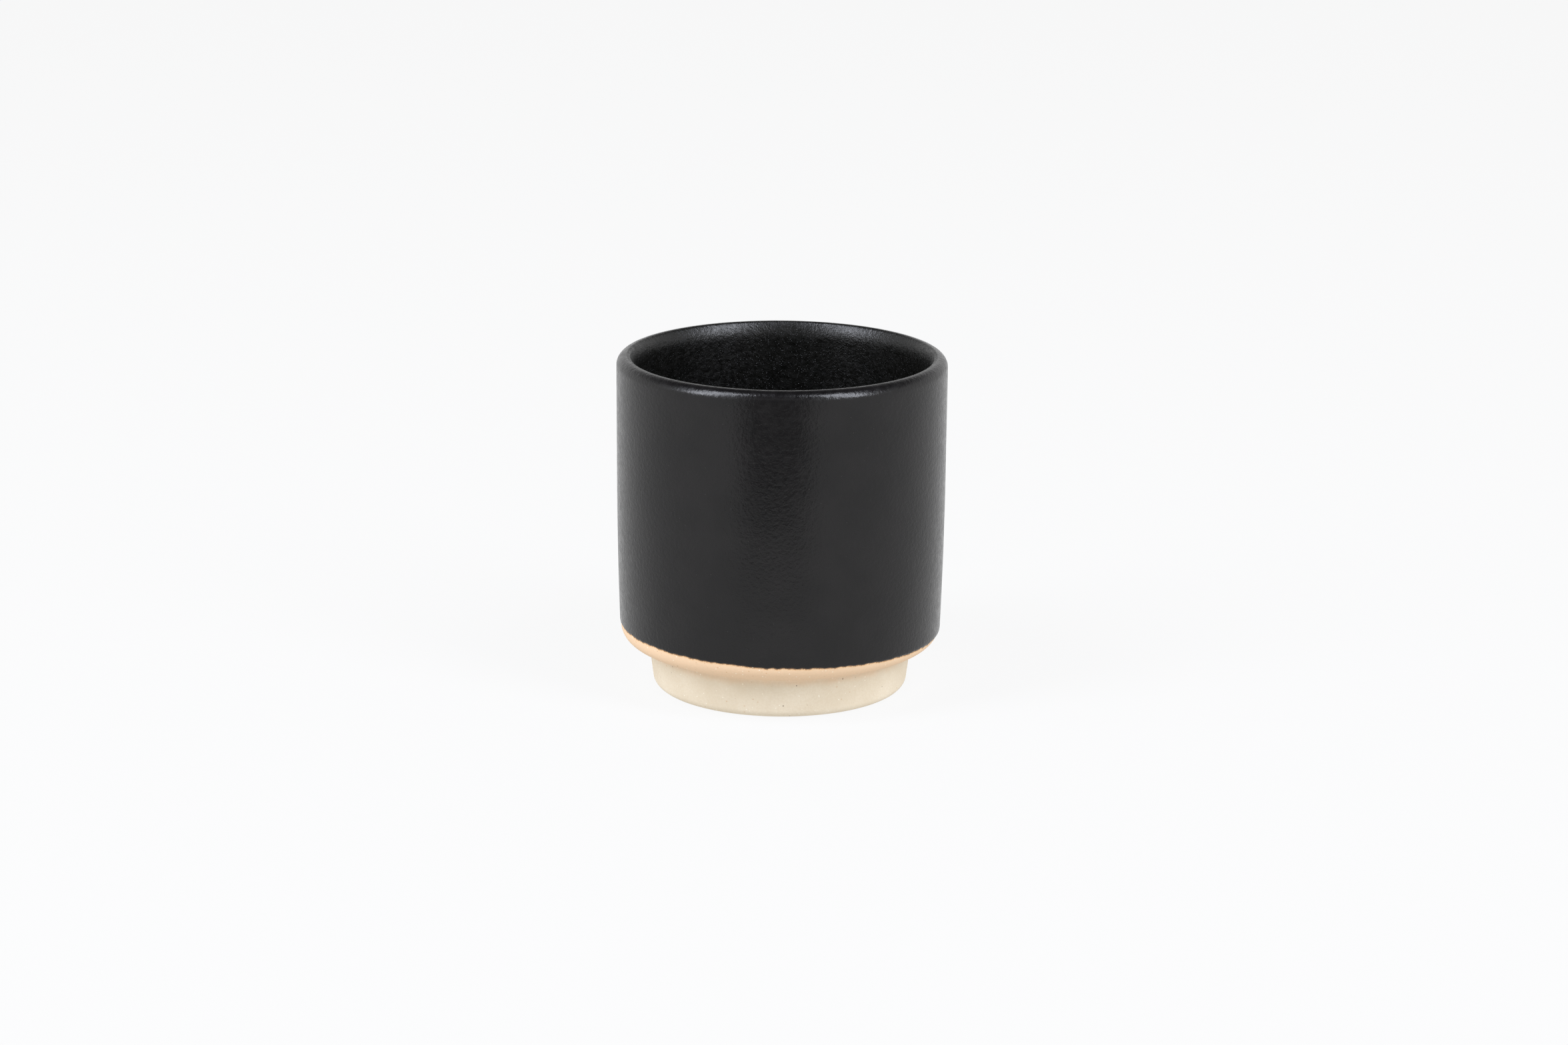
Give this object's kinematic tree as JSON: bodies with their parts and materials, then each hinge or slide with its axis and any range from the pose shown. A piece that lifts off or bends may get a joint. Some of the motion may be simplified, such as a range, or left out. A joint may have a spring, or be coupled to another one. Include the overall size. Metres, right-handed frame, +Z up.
{
  "type": "candle jar",
  "caption": "Straight-sided round stoneware jar for poured wax, with a rounded lip, a narrower bare clay foot and a dark glaze inside and out.",
  "frame": {"origin": "centre of the foot ring's resting face, on the jar's axis", "axes": "+Z up along the jar's axis and out of its mouth; +X and +Y are free choices, because the jar is round"},
  "size_m": [0.0844, 0.0844, 0.0867],
  "materials": {
    "bare_stoneware": "matte, fine grained, unglazed",
    "black_satin_glaze": "satin matte glaze",
    "black_liner_glaze": "satin matte glaze with a fine sparkle"
  },
  "bodies": {
    "root": {"stoneware_body": "bare_stoneware", "outer_glaze": "black_satin_glaze", "liner_glaze": "black_liner_glaze"}
  },
  "joints": []
}
